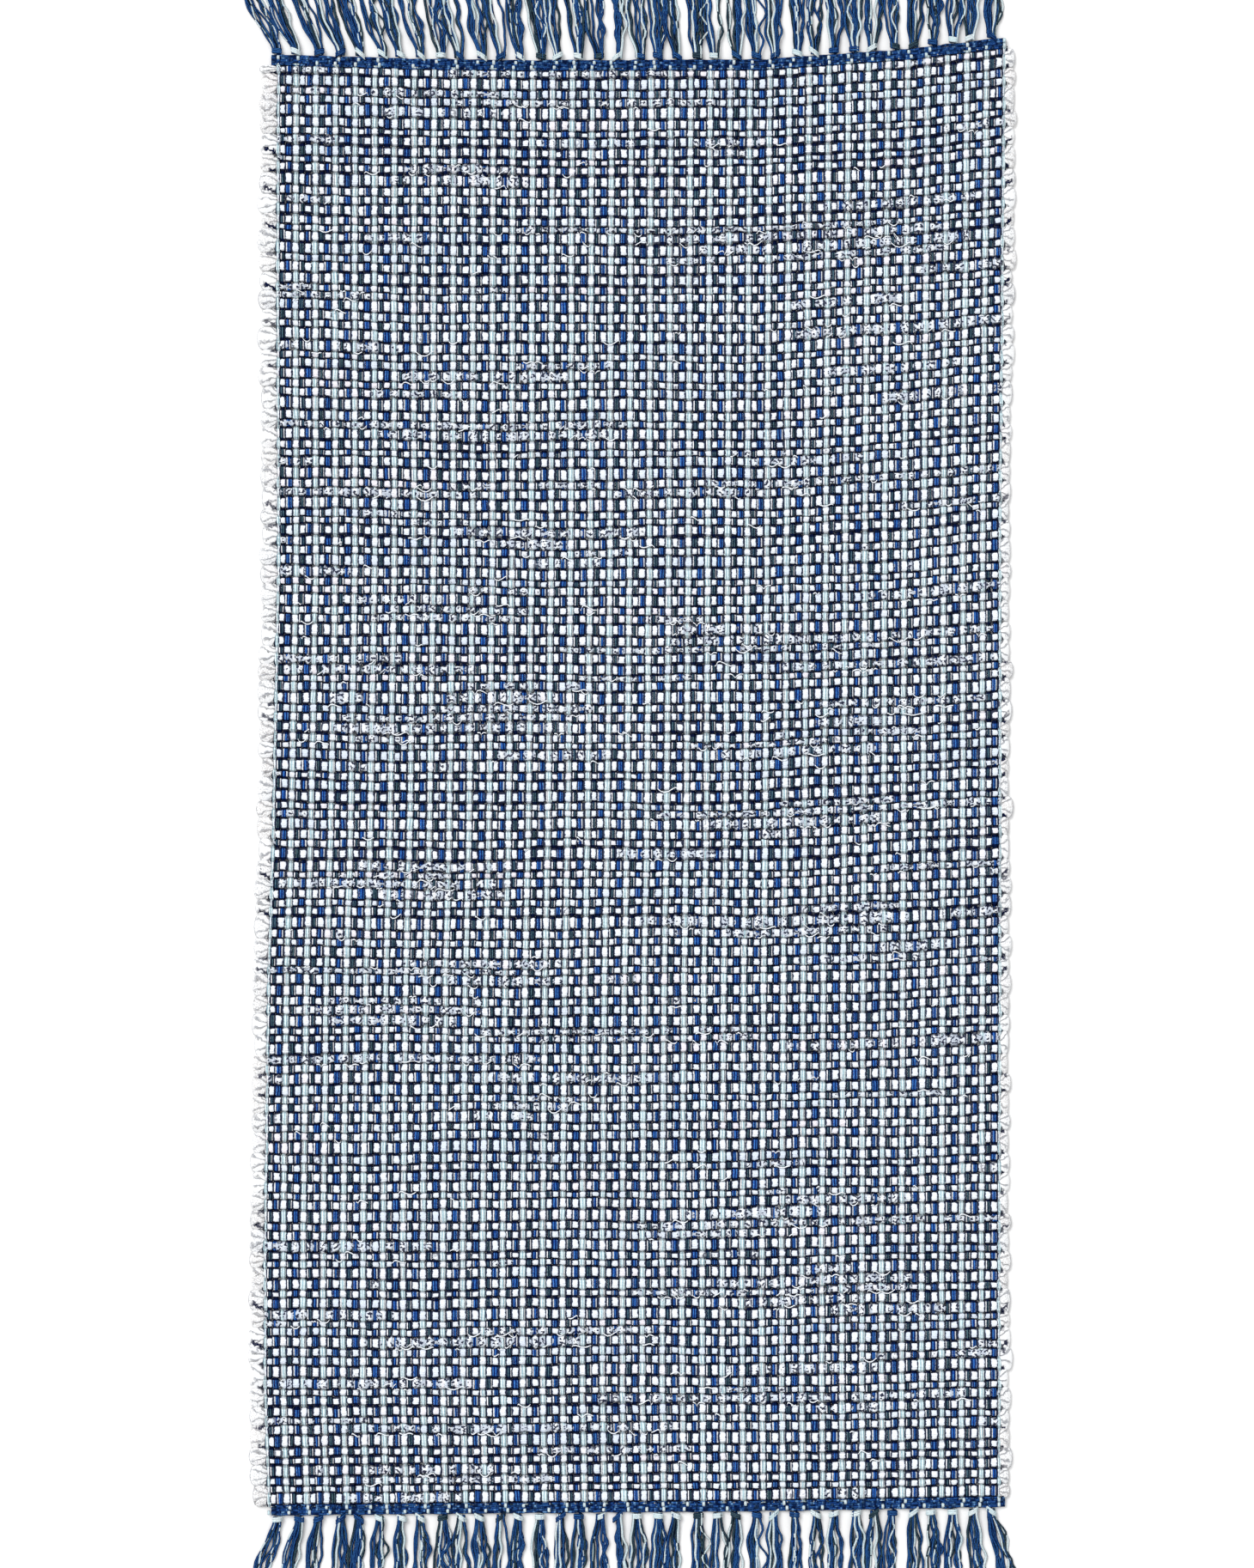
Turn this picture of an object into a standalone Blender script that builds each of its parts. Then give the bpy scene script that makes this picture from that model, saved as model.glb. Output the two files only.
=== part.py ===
"""A handwoven cotton rag rug, laid flat, with a knotted fringe at each end.

Metres, +Z up. The rug lies on z = 0 with its length along Y and its width
along X, and the origin is under the middle of the rug. The cloth is one flat
solid whose top is ribbed by the rag picks and whose long edges are the lobes
of the rag's turns. Each end has a twined header band, a narrow strip parted
from the cloth, from which the knotted tassels grow.
"""

import math

import bmesh
import bpy

# Cloth
WOVEN_WIDTH = 0.600       # from the outer warp end on one side to the other
CLOTH_LENGTH = 1.184      # the rag picks alone, without the header bands
CLOTH_THICK = 0.0050      # over the crest of a rag pick
GROOVE = 0.0013           # how far the cloth dips between two picks
PICKS = 147
RAG_COLOUR = (0.50, 0.56, 0.64)   # white rag under blue, green and aqua warp
YARN_COLOUR = (0.03, 0.08, 0.24)
COTTON_ROUGHNESS = 0.9
ROW_WAVER = 0.0016        # how far a pick line strays from its even place
ROW_UNEVEN = 0.16         # how much a pick's height varies, in picks

# Long edges, where the rag turns back and makes a rounded lobe
LOOP_REACH = 0.0118       # a full lobe's tip, past the outer warp end
LOOP_NOTCH = 0.0045       # how far the edge draws in between two lobes
LOOP_PICKS = 2
EDGE_UNDERCUT = 0.0022    # how far the rounded edge tucks in at the floor
EDGE_HEIGHT = 0.0023      # where the rounded edge stands out furthest
LOOP_UNEVEN = 0.0011      # how much one lobe differs from the next

# Ends
BAND_WIDTH = 0.0085
BAND_THICK = 0.0040
BAND_UNEVEN = 0.08        # how much its thickness varies, as a share
BAND_OVERHANG = 0.0030    # past the outer warp end
PART_GAP = 0.0003         # between the cloth and its band

# Fringe
TASSELS = 37              # three warp ends are knotted into each
TASSEL_STRAY = 0.0018
KNOT_ROOT = 0.0070        # width where a knot leaves the band
KNOT_WIDTH = 0.0086
KNOT_HEIGHT = 0.0058
KNOT_MIDDLE = 0.0030      # from the band to the knot's fullest ring
KNOT_LENGTH = 0.0070
MOUTH_WIDTH = 0.0074      # where the strands leave the knot
MOUTH_HEIGHT = 0.0026
STRANDS = 4
STRAND_WIDTH = 0.0019
STRAND_HEIGHT = 0.0018
STRAND_PITCH = 0.0027
STRAND_LENGTH = 0.0720
STRAND_STEPS = 4
STRAND_SPREAD = 0.12      # how much a tassel opens out by its tip
SWAY = 0.0007
SWAY_LENGTH = 0.065
LEAN_EASE = 0.30          # how much a leaning tassel straightens by its tip

HALF_WIDTH = WOVEN_WIDTH / 2
HALF_LENGTH = CLOTH_LENGTH / 2

# Where the cloth's corners and edges stray from a true rectangle.
# across: -1 at the left edge, 1 at the right; near, far: offset along Y
END_SHAPE = (
    {"across": -1.000, "near": -0.0088, "far": -0.0054},
    {"across": -0.333, "near": -0.0068, "far": -0.0076},
    {"across": 0.333, "near": -0.0052, "far": -0.0070},
    {"across": 1.000, "near": -0.0018, "far": 0.0070},
)
# along: 0 at the near end, 1 at the far; left, right: offset along X
SIDE_SHAPE = (
    {"along": 0.00, "left": -0.0010, "right": -0.0020},
    {"along": 0.18, "left": -0.0062, "right": -0.0020},
    {"along": 0.50, "left": -0.0025, "right": -0.0010},
    {"along": 0.80, "left": -0.0005, "right": 0.0010},
    {"along": 1.00, "left": 0.0020, "right": 0.0020},
)
# Sideways travel per metre of fringe, which grows towards the corners over a
# reach given as a share of half the width
LEANS = {
    "near": {"left": 0.42, "left_reach": 0.11, "right": 0.52, "right_reach": 0.05},
    "far": {"left": 0.40, "left_reach": 0.45, "right": 0.10, "right_reach": 0.20},
}


def table(rows, key, value, place):
    """Read a value from a short table, on straight lines between its rows."""
    rows = sorted(rows, key=lambda row: row[key])
    place = min(max(place, rows[0][key]), rows[-1][key])
    for low, high in zip(rows, rows[1:]):
        if place <= high[key]:
            share = (place - low[key]) / (high[key] - low[key])
            return low[value] + share * (high[value] - low[value])
    return rows[-1][value]


def warp_x(across, along):
    """X of a lengthwise line of the cloth: across is -1..1, along is 0..1."""
    left = -HALF_WIDTH + table(SIDE_SHAPE, "along", "left", along)
    right = HALF_WIDTH + table(SIDE_SHAPE, "along", "right", along)
    return left + (right - left) * (across + 1) / 2


def end_y(end, across):
    """Y of the cloth's own end, under its band's inner edge."""
    side = -1 if end == "near" else 1
    return side * HALF_LENGTH + table(END_SHAPE, "across", end, across)


def pick_y(pick, across):
    """Y of the line between two picks, uneven as hand-beaten picks are."""
    uneven = math.sin(1.9 * pick) + 0.6 * math.sin(0.83 * pick + 1.1)
    even = (pick + ROW_UNEVEN * uneven) / PICKS
    ends = math.sin(math.pi * pick / PICKS)
    share = even if 0 < pick < PICKS else pick / PICKS
    waver = ROW_WAVER * math.sin(0.21 * pick + 2.3 * across) * math.sin(1.3 * across + 0.05 * pick)
    return end_y("near", across) * (1 - share) + end_y("far", across) * share + ends * waver


def loop_reach(pick, side):
    """How far the rag's turn stands past the outer warp end at a pick."""
    turn = (pick + (side > 0)) / LOOP_PICKS
    number = math.floor(turn)
    swell = abs(math.sin(math.pi * turn))
    uneven = math.sin(2.7 * number + side) + 0.7 * math.sin(1.1 * number)
    return LOOP_REACH + LOOP_UNEVEN * uneven - LOOP_NOTCH * (1 - swell)


def new_object(name, mesh, colour):
    """Turn a finished bmesh into a named object with its own material."""
    bmesh.ops.recalc_face_normals(mesh, faces=mesh.faces)
    data = bpy.data.meshes.new(name)
    mesh.to_mesh(data)
    mesh.free()
    material = bpy.data.materials.new(name + "_finish")
    material.use_nodes = True
    shader = material.node_tree.nodes["Principled BSDF"]
    shader.inputs["Base Color"].default_value = (*colour, 1.0)
    shader.inputs["Roughness"].default_value = COTTON_ROUGHNESS
    shader.inputs["Metallic"].default_value = 0.0
    data.materials.append(material)
    item = bpy.data.objects.new(name, data)
    bpy.context.scene.collection.objects.link(item)
    return item


def cloth_ring(step):
    """One cross-section of the cloth, at a groove or at a pick's crest."""
    pick = step / 2
    crest = step % 2 == 1
    along = pick / PICKS
    top = CLOTH_THICK if crest else CLOTH_THICK - GROOVE
    columns = [row["across"] for row in END_SHAPE]
    left = warp_x(-1, along) - loop_reach(pick, -1)
    right = warp_x(1, along) + loop_reach(pick, 1)
    y_left, y_right = pick_y(pick, -1), pick_y(pick, 1)
    points = [(left + EDGE_UNDERCUT, y_left, 0.0), (left, y_left, EDGE_HEIGHT)]
    points += [(warp_x(a, along), pick_y(pick, a), top) for a in columns]
    points += [(right, y_right, EDGE_HEIGHT), (right - EDGE_UNDERCUT, y_right, 0.0)]
    points += [(warp_x(a, along), pick_y(pick, a), 0.0) for a in reversed(columns[1:-1])]
    return points


def close_end(mesh, ring):
    """Close an end column by column, so that its faces follow the end's curve."""
    tops = ring[2:6]
    feet = [ring[0], ring[9], ring[8], ring[7]]
    for top, foot, next_top, next_foot in zip(tops, feet, tops[1:], feet[1:]):
        mesh.faces.new((foot, top, next_top, next_foot))
    mesh.faces.new((ring[0], ring[1], ring[2]))
    mesh.faces.new((ring[5], ring[6], ring[7]))


def make_cloth():
    """The woven cloth: rings joined along the length and closed at both ends."""
    mesh = bmesh.new()
    rings = [[mesh.verts.new(p) for p in cloth_ring(step)] for step in range(2 * PICKS + 1)]
    for ring, after in zip(rings, rings[1:]):
        for i, vertex in enumerate(ring):
            j = (i + 1) % len(ring)
            mesh.faces.new((vertex, ring[j], after[j], after[i]))
    close_end(mesh, rings[0])
    close_end(mesh, rings[-1])
    return new_object("rug_cloth", mesh, RAG_COLOUR)


def tassel_x(number, end):
    """Where a tassel's knot leaves the band."""
    pitch = WOVEN_WIDTH / TASSELS
    phase = 0.4 if end == "near" else 2.0
    stray = math.sin(2.4 * number + phase) * 0.6 + math.sin(0.9 * number + 2 * phase) * 0.4
    return (number - (TASSELS - 1) / 2) * pitch + TASSEL_STRAY * stray


def lean(across, end):
    """Sideways travel per metre of a tassel at a place across the rug."""
    row = LEANS[end]
    left = row["left"] * math.exp(-(1 + across) / row["left_reach"])
    right = row["right"] * math.exp(-(1 - across) / row["right_reach"])
    return right - left


def drift(number, end, reach):
    """How far a tassel has strayed sideways at a distance from its knot."""
    across = tassel_x(number, end) / HALF_WIDTH
    phase = 1.7 * number if end == "near" else 2.9 * number
    eased = reach * (1 - LEAN_EASE * reach / STRAND_LENGTH)
    sway = math.sin(2 * math.pi * reach / SWAY_LENGTH + phase) - math.sin(phase)
    return lean(across, end) * eased + SWAY * sway


def fan(mesh, first, second, points):
    """Join the edge first-second to a row of points with triangles."""
    half = (len(points) - 1) // 2
    for i, (a, b) in enumerate(zip(points, points[1:])):
        mesh.faces.new((first if i < half else second, a, b))
    mesh.faces.new((first, points[half], second))


def grow_strand(mesh, root, base, place, side):
    """One strand of a tassel, three-sided, level on the floor from its root."""
    ring = root
    for step in range(1, STRAND_STEPS + 1):
        reach = STRAND_LENGTH * step / STRAND_STEPS
        x = place(reach)
        y = base + side * reach
        half = STRAND_WIDTH / 2
        after = [
            mesh.verts.new((x - half, y, 0.0)),
            mesh.verts.new((x + half, y, 0.0)),
            mesh.verts.new((x, y, STRAND_HEIGHT)),
        ]
        for i in range(3):
            j = (i + 1) % 3
            mesh.faces.new((ring[i], ring[j], after[j], after[i]))
        ring = after
    mesh.faces.new(ring)


def grow_tassel(mesh, root, number, end):
    """A knot grown from four points of the band, and the strands from its mouth."""
    side = -1 if end == "near" else 1
    x = tassel_x(number, end)
    base = root[0].co.y
    bulge = []
    for vertex, across, height in zip(root, (-1, 1, 1, -1), (0, 0, 1, 1)):
        point = (x + across * KNOT_WIDTH / 2, base + side * KNOT_MIDDLE, height * KNOT_HEIGHT)
        bulge.append(mesh.verts.new(point))
    for i in range(4):
        j = (i + 1) % 4
        mesh.faces.new((root[i], root[j], bulge[j], bulge[i]))

    front = base + side * KNOT_LENGTH
    step = MOUTH_WIDTH / STRANDS
    left = x - MOUTH_WIDTH / 2
    floor = [mesh.verts.new((left + i * step, front, 0.0)) for i in range(STRANDS + 1)]
    crown = [mesh.verts.new((left + (i + 0.5) * step, front, MOUTH_HEIGHT)) for i in range(STRANDS)]
    fan(mesh, bulge[0], bulge[1], floor)
    fan(mesh, bulge[3], bulge[2], crown)
    mesh.faces.new((bulge[0], floor[0], crown[0], bulge[3]))
    mesh.faces.new((bulge[1], floor[-1], crown[-1], bulge[2]))
    for i in range(STRANDS - 1):
        mesh.faces.new((crown[i], floor[i + 1], crown[i + 1]))

    for i in range(STRANDS):
        offset = (i - (STRANDS - 1) / 2) * STRAND_PITCH

        def place(reach, offset=offset):
            spread = 1 + STRAND_SPREAD * reach / STRAND_LENGTH
            return x + offset * spread + drift(number, end, reach)

        grow_strand(mesh, (floor[i], floor[i + 1], crown[i]), front, place, side)


def band_ring(mesh, x, end):
    """One cross-section of the header band: inner foot and top, outer top and foot."""
    side = -1 if end == "near" else 1
    across = x / HALF_WIDTH
    inner = end_y(end, across) + side * PART_GAP
    outer = inner + side * BAND_WIDTH
    crown = BAND_THICK * (1 + BAND_UNEVEN * math.sin(900 * x))
    points = ((inner, 0.0), (inner, crown), (outer, crown), (outer, 0.0))
    return [mesh.verts.new((x, y, z)) for y, z in points]


def make_fringe(end, name):
    """A header band with its knotted tassels, as one solid."""
    mesh = bmesh.new()
    places = [-HALF_WIDTH - BAND_OVERHANG]
    for number in range(TASSELS):
        x = tassel_x(number, end)
        places += [x - KNOT_ROOT / 2, x + KNOT_ROOT / 2]
    places.append(HALF_WIDTH + BAND_OVERHANG)
    rings = [band_ring(mesh, x, end) for x in places]
    for number, (ring, after) in enumerate(zip(rings, rings[1:])):
        knot_here = number % 2 == 1
        for i in range(4):
            j = (i + 1) % 4
            if knot_here and i == 2:
                root = (ring[3], after[3], after[2], ring[2])
                grow_tassel(mesh, root, number // 2, end)
            else:
                mesh.faces.new((ring[i], ring[j], after[j], after[i]))
    mesh.faces.new(rings[0])
    mesh.faces.new(list(reversed(rings[-1])))
    return new_object(name, mesh, YARN_COLOUR)


def clear_scene():
    """Remove whatever objects the opened scene holds."""
    for item in list(bpy.data.objects):
        bpy.data.objects.remove(item, do_unlink=True)


clear_scene()
make_cloth()
make_fringe("near", "fringe_near")
make_fringe("far", "fringe_far")
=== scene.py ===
# %% [markdown]
# # A handwoven cotton rag rug
#
# White rag is beaten between warp ends of blue, green-black and aqua yarn.
# The script loads the plain solids of the rug as a fixed frame and then
# builds every rag and every yarn over them. The weave is real geometry, and
# only the fibres and the painted shade of the gaps are left to the materials.

# %% Load the frame
import math

import bpy
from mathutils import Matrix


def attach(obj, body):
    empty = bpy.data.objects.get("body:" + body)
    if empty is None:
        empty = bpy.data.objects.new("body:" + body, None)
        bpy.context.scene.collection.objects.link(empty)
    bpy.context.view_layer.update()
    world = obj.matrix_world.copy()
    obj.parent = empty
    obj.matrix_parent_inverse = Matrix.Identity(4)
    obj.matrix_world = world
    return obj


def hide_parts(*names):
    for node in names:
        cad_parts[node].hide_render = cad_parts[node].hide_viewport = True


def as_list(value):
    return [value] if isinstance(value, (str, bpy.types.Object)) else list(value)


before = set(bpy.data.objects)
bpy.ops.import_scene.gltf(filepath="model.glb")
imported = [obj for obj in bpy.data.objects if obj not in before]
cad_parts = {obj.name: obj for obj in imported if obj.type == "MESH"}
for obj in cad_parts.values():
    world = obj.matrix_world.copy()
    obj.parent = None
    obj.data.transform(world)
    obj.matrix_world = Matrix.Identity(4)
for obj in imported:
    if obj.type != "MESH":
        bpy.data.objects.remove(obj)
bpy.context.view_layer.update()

# %% [markdown]
# ## Camera
#
# The picture is a flat lay, seen from straight above. A long lens at a
# distance gives the same flat view, and its frame cuts off the fringes.

# %% Camera
PIXEL = 0.00071                  # metres on the floor for one pixel of the picture
PICTURE = (1460, 1826)
LENS = 0.100
SENSOR = 0.036
AIM = (-0.0092, -0.0050)         # the point of the rug under the picture's middle


def make_camera():
    """A camera that looks straight down, with the rug's length up the picture."""
    data = bpy.data.cameras.new("camera")
    data.lens = LENS * 1000
    data.sensor_width = SENSOR * 1000
    camera = bpy.data.objects.new("camera", data)
    bpy.context.scene.collection.objects.link(camera)
    height = PICTURE[1] * PIXEL * LENS / SENSOR
    camera.location = (*AIM, height)
    bpy.context.scene.camera = camera
    return camera


camera = make_camera()
print("camera height:", round(camera.location.z, 3))

# %% [markdown]
# ## Writing node trees as expressions
#
# A tree of Math nodes is hard to read, while a formula isn't. Link wraps one
# output of a node, and Python's operators on it add the Math nodes. The same
# formulas then serve plain numbers, Geometry Nodes and shaders.


# %% The link class and the tree class
class Link:
    """One output of a node. Operators on it add Math nodes."""

    def __init__(self, tree, socket):
        self.tree = tree
        self.socket = socket

    def out(self, key):
        """Another output of the same node."""
        return Link(self.tree, self.socket.node.outputs[key])

    def __add__(self, other):
        return maths("ADD", self, other)

    def __radd__(self, other):
        return maths("ADD", other, self)

    def __sub__(self, other):
        return maths("SUBTRACT", self, other)

    def __rsub__(self, other):
        return maths("SUBTRACT", other, self)

    def __mul__(self, other):
        return maths("MULTIPLY", self, other)

    def __rmul__(self, other):
        return maths("MULTIPLY", other, self)

    def __truediv__(self, other):
        return maths("DIVIDE", self, other)

class Tree:
    """A node tree that is being written."""

    def __init__(self, tree):
        self.tree = tree

    def node(self, kind, settings=None, sockets=None, output=0):
        """Add a node: its settings first, then its sockets' values or links."""
        made = self.tree.nodes.new(kind)
        for name, value in (settings or {}).items():
            setattr(made, name, value)
        for key, value in (sockets or {}).items():
            if isinstance(value, Link):
                self.tree.links.new(value.socket, made.inputs[key])
            else:
                made.inputs[key].default_value = value
        return Link(self, made.outputs[output])

    def vector(self, x, y, z):
        return self.node("ShaderNodeCombineXYZ", None, {0: x, 1: y, 2: z})

    def parts(self, vector):
        """The three numbers of a vector."""
        x = self.node("ShaderNodeSeparateXYZ", None, {0: vector})
        return x, x.out("Y"), x.out("Z")


def maths(operation, *values):
    """One Math node on links and numbers."""
    tree = next(value.tree for value in values if isinstance(value, Link))
    return tree.node("ShaderNodeMath", {"operation": operation}, dict(enumerate(values)))


# %% Functions that take numbers or links
def sine(x):
    return maths("SINE", x) if isinstance(x, Link) else math.sin(x)


def cosine(x):
    return maths("COSINE", x) if isinstance(x, Link) else math.cos(x)


def exponential(x):
    return maths("EXPONENT", x) if isinstance(x, Link) else math.exp(x)


def size_of(x):
    return maths("ABSOLUTE", x) if isinstance(x, Link) else abs(x)


def whole(x):
    return maths("FLOOR", x) if isinstance(x, Link) else math.floor(x)


def held(x, low, high):
    """x, held between two limits."""
    if isinstance(x, Link):
        return maths("MINIMUM", maths("MAXIMUM", x, low), high)
    return min(max(x, low), high)


def odd(x):
    """1 where a whole number is odd, and 0 where it is even."""
    return x - 2 * whole(x * 0.5)


def rise(x, low, high):
    """A smooth step from 0 at low to 1 at high."""
    share = held((x - low) * (1 / (high - low)), 0, 1)
    return share * share * (3 - 2 * share)


def read(rows, key, value, place):
    """Read a value from a short table, on straight lines between its rows."""
    result = rows[0][value]
    for low, high in zip(rows, rows[1:]):
        share = held((place - low[key]) * (1 / (high[key] - low[key])), 0, 1)
        result = result + share * (high[value] - low[value])
    return result


# %% [markdown]
# ## The rug's plan
#
# The sizes are those of the solids. The tables tell where the ends sag, where
# the edges bow and how the tassels lean, more closely than the solids do.
# Every strand reads its place from them, so warp, rag and fringe agree.

# %% Sizes of the rug
WOVEN_WIDTH = 0.600
CLOTH_LENGTH = 1.184
PICKS = 147
ENDS = 112
ROW_WAVER = 0.0009               # how far a whole group of rows strays
ROW_DRIFT = 0.0006               # how far one row strays from its neighbours
ROW_SHAKE = 0.0008               # how far a row jogs from crossing to crossing
ROW_UNEVEN = 0.16                # of a row's height
BAND_WIDTH = 0.0085
TASSELS = 37
TASSEL_STRAY = 0.0018            # how far a knot sits from its even place
KNOT_LENGTH = 0.0070
STRAND_LENGTH = 0.0720
STRAND_SPREAD = 0.24             # how much wider a tassel's tip is than its knot end
SWAY = 0.0007                    # how far a tassel waves sideways
SWAY_LENGTH = 0.065              # the length of that wave
LEAN_EASE = 0.30                 # how much of its lean a tassel loses at its tip
HALF_WIDTH = WOVEN_WIDTH / 2
HALF_LENGTH = CLOTH_LENGTH / 2
MIDDLE_END = (ENDS - 1) / 2      # the middle of the warp, counted in ends

END_SHAPE = (
    {"across": -1.000, "near": -0.0088, "far": -0.0030},
    {"across": -0.600, "near": -0.0076, "far": -0.0064},
    {"across": -0.333, "near": -0.0068, "far": -0.0076},
    {"across": 0.333, "near": -0.0052, "far": -0.0070},
    {"across": 0.750, "near": -0.0031, "far": 0.0018},
    {"across": 1.000, "near": -0.0018, "far": 0.0110},
)
SIDE_SHAPE = (
    {"along": 0.00, "left": -0.0050, "right": -0.0020},
    {"along": 0.08, "left": -0.0083, "right": -0.0018},
    {"along": 0.18, "left": -0.0084, "right": -0.0018},
    {"along": 0.37, "left": -0.0054, "right": -0.0012},
    {"along": 0.46, "left": -0.0018, "right": -0.0010},
    {"along": 0.66, "left": 0.0028, "right": -0.0012},
    {"along": 0.85, "left": 0.0020, "right": 0.0010},
    {"along": 1.00, "left": 0.0026, "right": 0.0024},
)
LEANS = {
    "near": {"left": 0.42, "left_reach": 0.11, "right": 0.52, "right_reach": 0.05},
    "far": {"left": 0.58, "left_reach": 0.55, "right": 0.10, "right_reach": 0.20},
}
SIDE_OF = {"near": -1, "far": 1}  # the sign of Y at each end


# %% Where a place of the cloth lies
def warp_x(across, along):
    """X of a lengthwise line: across is -1..1, along is 0..1."""
    left = read(SIDE_SHAPE, "along", "left", along) - HALF_WIDTH
    right = read(SIDE_SHAPE, "along", "right", along) + HALF_WIDTH
    return left + (right - left) * (across + 1) * 0.5


def end_y(end, across):
    """Y of the cloth's own end, under its band's inner edge."""
    return read(END_SHAPE, "across", end, across) + SIDE_OF[end] * HALF_LENGTH


def pick_line(pick, across):
    """Y of the line between two picks, uneven as hand-beaten picks are."""
    inside = held(2 * pick, 0, 1) * held(2 * (PICKS - pick), 0, 1)
    uneven = sine(1.9 * pick) + 0.6 * sine(0.83 * pick + 1.1)
    share = (pick + ROW_UNEVEN * inside * uneven) * (1 / PICKS)
    waver = ROW_WAVER * sine(0.21 * pick + 2.3 * across) * sine(1.3 * across + 0.05 * pick)
    shake = ROW_SHAKE * sine(37 * across + 1.7 * pick) * sine(0.9 * pick - 23 * across)
    row_drift = sine(7.3 * across + 0.13 * pick) + (2 / 3) * sine(13.1 * across - 0.31 * pick)
    ends = held(sine(math.pi / PICKS * pick), 0, 1)
    near, far = end_y("near", across), end_y("far", across)
    wander = ends * waver + held(4 * ends, 0, 1) * ROW_DRIFT * row_drift + inside * shake
    return near + (far - near) * share + wander


print("first and last pick line:", round(pick_line(0, 0), 4), round(pick_line(PICKS, 0), 4))


# %% [markdown]
# ## Growing strands with Geometry Nodes
#
# A rug is hundreds of strands that each follow a rule. One tree makes them
# all: a cylinder with many rings is put on one point for each strand, the
# copies are made real, and a formula then moves every point. The formula
# knows the strand's number, how far along the ring is (0..1), and where on
# the ring the point sits, as side and up (both -1..1). Two attributes stay on
# the mesh for the materials: local, the point on the plain cylinder, and
# mark, three numbers that the formula chooses.


# %% The strand tree
def group_of(name, counts, sizes):
    """A new Geometry Nodes tree with named inputs, and a link to each input."""
    group = bpy.data.node_groups.new(name, "GeometryNodeTree")
    faces = group.interface
    faces.new_socket(name="Geometry", in_out="OUTPUT", socket_type="NodeSocketGeometry")
    faces.new_socket(name="Geometry", in_out="INPUT", socket_type="NodeSocketGeometry")
    for label, value in counts.items():
        faces.new_socket(name=label, in_out="INPUT", socket_type="NodeSocketInt")
    for label, value in sizes.items():
        faces.new_socket(name=label, in_out="INPUT", socket_type="NodeSocketFloat")
    tree = Tree(group)
    entry = group.nodes.new("NodeGroupInput")
    return tree, {label: Link(tree, entry.outputs[label]) for label in (*counts, *sizes)}


def realised(name, group, values):
    """Run a tree on an empty mesh, and keep its result as a plain mesh."""
    piece = bpy.data.objects.new(name, bpy.data.meshes.new(name))
    bpy.context.scene.collection.objects.link(piece)
    modifier = piece.modifiers.new("strands", "NODES")
    modifier.node_group = group
    for socket in group.interface.items_tree:
        if socket.in_out == "INPUT" and socket.name in values:
            modifier[socket.identifier] = values[socket.name]
    depsgraph = bpy.context.evaluated_depsgraph_get()
    mesh = bpy.data.meshes.new_from_object(piece.evaluated_get(depsgraph))
    piece.modifiers.clear()
    piece.data = mesh
    mesh.name = name
    return piece


TRIANGLES = {}


def grow(name, finish, shape, counts, sizes, place, keep=None):
    """Strands by formula: place(strand, side, up, ring, size) gives a point and a mark.

    keep, if given, tells by a strand's number whether it is made at all.
    """
    tree, link = group_of(name, counts, sizes)
    if shape == "tube":
        kind, sockets = "GeometryNodeMeshCylinder", ("Vertices", "Side Segments")
        sockets = dict(zip(sockets, (link["Sides"], link["Rings"])))
        sockets.update({"Radius": 1.0, "Depth": 1.0})
        settings = {"fill_type": "NGON"}
    else:
        kind, settings = "GeometryNodeMeshUVSphere", None
        sockets = {"Segments": link["Sides"], "Rings": link["Rings"], "Radius": 1.0}
    body = tree.node(kind, settings, sockets)
    here = tree.node("GeometryNodeInputPosition")
    store = "GeometryNodeStoreNamedAttribute"
    body = tree.node(
        store,
        {"data_type": "FLOAT_VECTOR", "domain": "POINT"},
        {"Geometry": body, "Name": "local", "Value": here},
    )
    points = tree.node("GeometryNodePoints", None, {"Count": link["Strands"]})
    number = tree.node("GeometryNodeInputIndex")
    points = tree.node(
        store,
        {"data_type": "FLOAT", "domain": "POINT"},
        {"Geometry": points, "Name": "strand", "Value": number},
    )
    on_points = {"Points": points, "Instance": body}
    if keep:
        on_points["Selection"] = keep(number)
    copies = tree.node("GeometryNodeInstanceOnPoints", None, on_points)
    mesh = tree.node("GeometryNodeRealizeInstances", None, {"Geometry": copies})
    kept = "GeometryNodeInputNamedAttribute"
    strand = tree.node(kept, {"data_type": "FLOAT"}, {"Name": "strand"})
    local = tree.node(kept, {"data_type": "FLOAT_VECTOR"}, {"Name": "local"})
    side, up, ring = tree.parts(local)
    if shape == "tube":
        ring = ring + 0.5
    point, mark = place(strand, side, up, ring, link)
    mesh = tree.node(
        store,
        {"data_type": "FLOAT_VECTOR", "domain": "POINT"},
        {"Geometry": mesh, "Name": "mark", "Value": tree.vector(*mark)},
    )
    mesh = tree.node(
        "GeometryNodeSetPosition", None, {"Geometry": mesh, "Position": tree.vector(*point)}
    )
    mesh = tree.node("GeometryNodeSetShadeSmooth", None, {"Geometry": mesh, "Shade Smooth": True})
    mesh = tree.node("GeometryNodeSetMaterial", None, {"Geometry": mesh, "Material": finish})
    exit_node = tree.tree.nodes.new("NodeGroupOutput")
    tree.tree.links.new(mesh.socket, exit_node.inputs[0])
    piece = realised(name, tree.tree, {**counts, **sizes})
    triangles = sum(len(face.vertices) - 2 for face in piece.data.polygons)
    print(name, "triangles:", triangles)
    TRIANGLES[name] = triangles
    return piece


def chance(tree, first, second=0.0, third=0.0):
    """A random number from 0 to 1 for a place and a seed, the same at every run."""
    place = tree.vector(first, second, third)
    return tree.node("ShaderNodeTexWhiteNoise", {"noise_dimensions": "3D"}, {"Vector": place})


def cloud(tree, x, y, z, detail=2.0):
    """Smooth noise, about 0.2 to 0.8, at a place in its own units."""
    return tree.node(
        "ShaderNodeTexNoise",
        {"noise_dimensions": "3D"},
        {"Vector": tree.vector(x, y, z), "Scale": 1.0, "Detail": detail},
    )
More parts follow.
